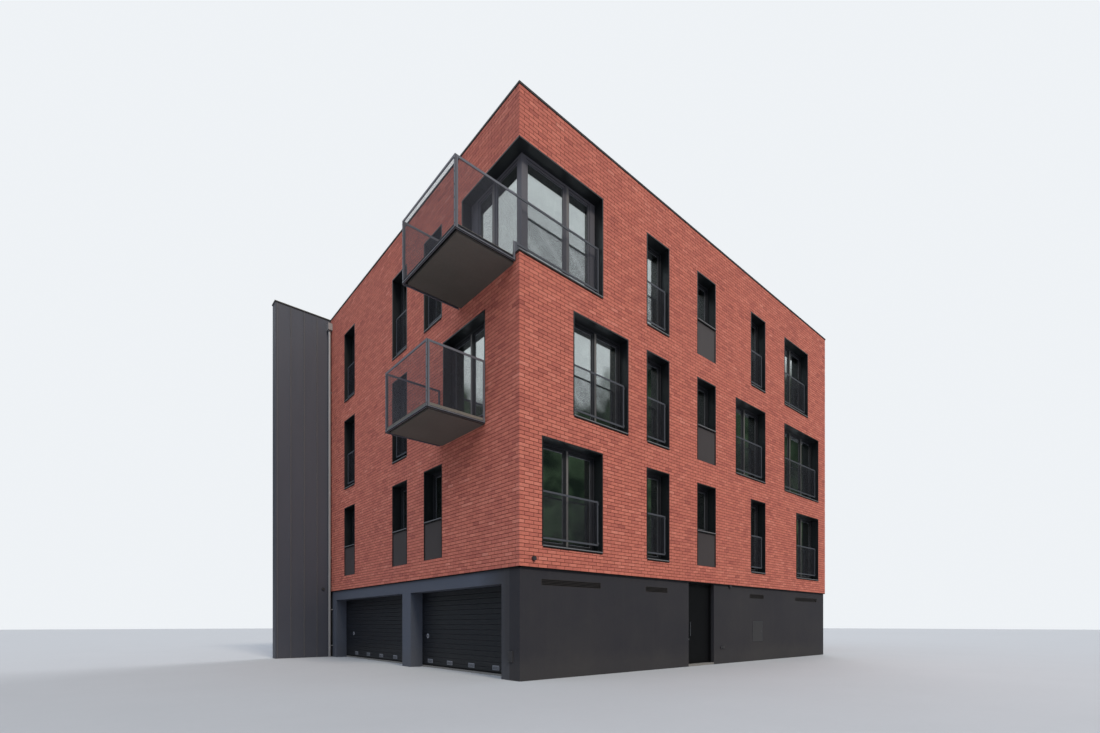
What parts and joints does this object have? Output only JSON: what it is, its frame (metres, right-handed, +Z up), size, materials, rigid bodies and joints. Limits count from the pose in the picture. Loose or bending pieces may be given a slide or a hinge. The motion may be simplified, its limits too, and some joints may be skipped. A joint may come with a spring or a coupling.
{
  "type": "apartment block",
  "caption": "Corner apartment block: dark rendered ground storey with garages, red brick storeys above, French windows with mesh guards, projecting balconies and a metal-clad fin wall.",
  "frame": {"origin": "middle of the building's footprint, on the ground under the ground slab", "axes": "+X along the entrance front, +Y from the entrance front to the back, +Z up"},
  "size_m": [16.901, 11.738, 12.305],
  "materials": {
    "brick": "red facing brick with pale mortar joints",
    "render": "dark grey mineral render",
    "concrete": "plain concrete",
    "roofing": "roof membrane",
    "dark_frame": "anthracite, satin",
    "door_leaf": "anthracite, satin",
    "steel": "brushed",
    "glazing": "clear",
    "panel": "anthracite, satin",
    "railing_metal": "mid grey, satin",
    "coping_metal": "anthracite, satin",
    "cladding_metal": "dark standing-seam sheet",
    "garage_metal": "anthracite, satin",
    "pipe_metal": "anthracite, satin",
    "vent_metal": "anthracite, satin"
  },
  "bodies": {
    "building": {"back_bands": "brick", "back_piers": "brick", "coping": "coping_metal", "corner_frame": "dark_frame", "corner_glass": "glazing", "corner_guard": "railing_metal", "corner_linings": "dark_frame", "door_threshold": "concrete", "downpipe": "pipe_metal", "entrance_frame": "dark_frame", "fin_cladding": "cladding_metal", "fin_wall": "concrete", "front_bands": "brick", "front_frames": "dark_frame", "front_glass": "glazing", "front_guards": "railing_metal", "front_linings": "dark_frame", "front_piers": "brick", "garage_beam": "render", "garage_door_plates": "vent_metal", "garage_door_tracks": "garage_metal", "garage_doors": "garage_metal", "garage_piers": "render", "ground_slab": "concrete", "left_bands": "brick", "left_frames": "dark_frame", "left_glass": "glazing", "left_guards": "railing_metal", "left_linings": "dark_frame", "left_piers": "brick", "lower_balcony": "concrete", "lower_railing": "railing_metal", "meter_hatch": "vent_metal", "pipe_fittings": "pipe_metal", "plinth_back": "render", "plinth_front": "render", "plinth_right": "render", "plinth_vents": "vent_metal", "rear_frames": "dark_frame", "rear_glass": "glazing", "rear_guards": "railing_metal", "rear_linings": "dark_frame", "right_bands": "brick", "right_piers": "brick", "roof_covering": "roofing", "roof_slab": "concrete", "service_boxes": "vent_metal", "spandrel_panels": "panel", "upper_balcony": "concrete", "upper_floors": "concrete", "upper_railing": "railing_metal", "wall_lamps": "vent_metal", "window_sills": "dark_frame"},
    "door": {"entrance_door": "door_leaf", "entrance_handle": "steel"}
  },
  "joints": [
    {"name": "entrance_hinge", "type": "hinge", "parent": "building", "child": "door", "pos_m": [-0.309, -5.594, 1.2], "axis": [0, 0, -1], "range_deg": [0, 90]}
  ]
}
